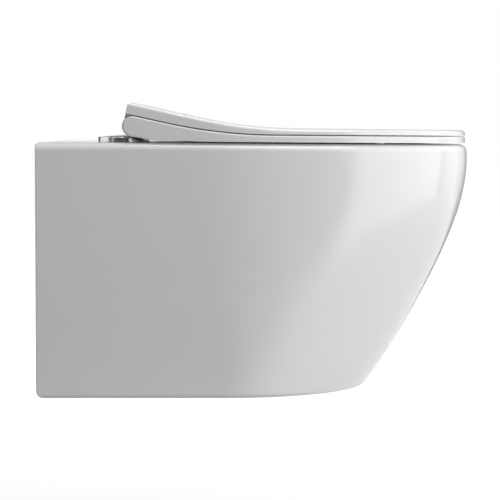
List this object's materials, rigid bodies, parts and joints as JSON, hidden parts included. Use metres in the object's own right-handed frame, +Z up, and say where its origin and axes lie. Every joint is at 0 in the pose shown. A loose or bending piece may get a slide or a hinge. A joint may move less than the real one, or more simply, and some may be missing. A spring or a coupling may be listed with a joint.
{
  "type": "wall hung toilet",
  "caption": "Wall hung toilet: skirted rimless ceramic pan with concealed wall brackets, chrome hinge covers and a slim soft-closing seat and lid that lift off.",
  "frame": {"origin": "midway between the two wall bolts, on the wall plane", "axes": "+X across, +Y into the wall with the front facing -Y, +Z up"},
  "size_m": [0.356, 0.52, 0.3466],
  "materials": {
    "glazed_white": "gloss",
    "seat_white": "gloss",
    "chrome": "polished",
    "zinc_steel": "zinc plated",
    "stainless": "brushed",
    "black_rubber": "matte",
    "pale_rubber": "satin",
    "grey_plastic": "satin",
    "white_plastic": "satin"
  },
  "bodies": {
    "pan": {"ceramic_pan": "glazed_white", "flush_distributor": "white_plastic", "inlet_seal": "black_rubber", "bracket_left": "zinc_steel", "bracket_right": "zinc_steel", "bracket_pads": "black_rubber", "wall_washers": "zinc_steel", "wall_nuts": "zinc_steel", "clamp_screws": "zinc_steel", "clamp_nuts": "zinc_steel", "hinge_gaskets": "black_rubber", "hinge_post_left": "stainless", "hinge_post_right": "stainless", "hinge_plate_left": "stainless", "hinge_plate_right": "stainless", "hinge_bolts": "stainless", "expansion_bushes": "grey_plastic", "expansion_nuts": "grey_plastic", "hinge_cover_left": "chrome", "hinge_cover_right": "chrome"},
    "hinge_carrier": {"hinge_block_left": "chrome", "hinge_block_right": "chrome", "hinge_pins": "stainless", "latch_springs": "stainless"},
    "left_release_button": {"release_button_left": "grey_plastic"},
    "right_release_button": {"release_button_right": "grey_plastic"},
    "seat": {"seat_ring": "seat_white", "seat_bumpers": "pale_rubber", "seat_damper": "grey_plastic", "seat_bush": "grey_plastic"},
    "lid": {"lid_shell": "seat_white", "lid_bumpers": "pale_rubber", "lid_damper": "grey_plastic", "lid_bush": "grey_plastic"}
  },
  "joints": [
    {"name": "hinge_lift_off", "type": "slide", "parent": "pan", "child": "hinge_carrier", "axis": [0, 0, 1], "range_m": [0, 0.03], "deforming": ["latch_springs"]},
    {"name": "left_button_press", "type": "slide", "parent": "hinge_carrier", "child": "left_release_button", "axis": [0, -1, 0], "range_m": [0, 0.0015], "stiffness_N_per_m": 1500, "springref_m": -0.001},
    {"name": "right_button_press", "type": "slide", "parent": "hinge_carrier", "child": "right_release_button", "axis": [0, -1, 0], "range_m": [0, 0.0015], "stiffness_N_per_m": 1500, "springref_m": -0.001},
    {"name": "seat_hinge", "type": "hinge", "parent": "hinge_carrier", "child": "seat", "pos_m": [0, -0.1135, 0.094], "axis": [-1, 0, 0], "range_deg": [0, 97]},
    {"name": "lid_hinge", "type": "hinge", "parent": "seat", "child": "lid", "pos_m": [0, -0.1135, 0.094], "axis": [1, 0, 0], "range_deg": [-100, 0]}
  ]
}
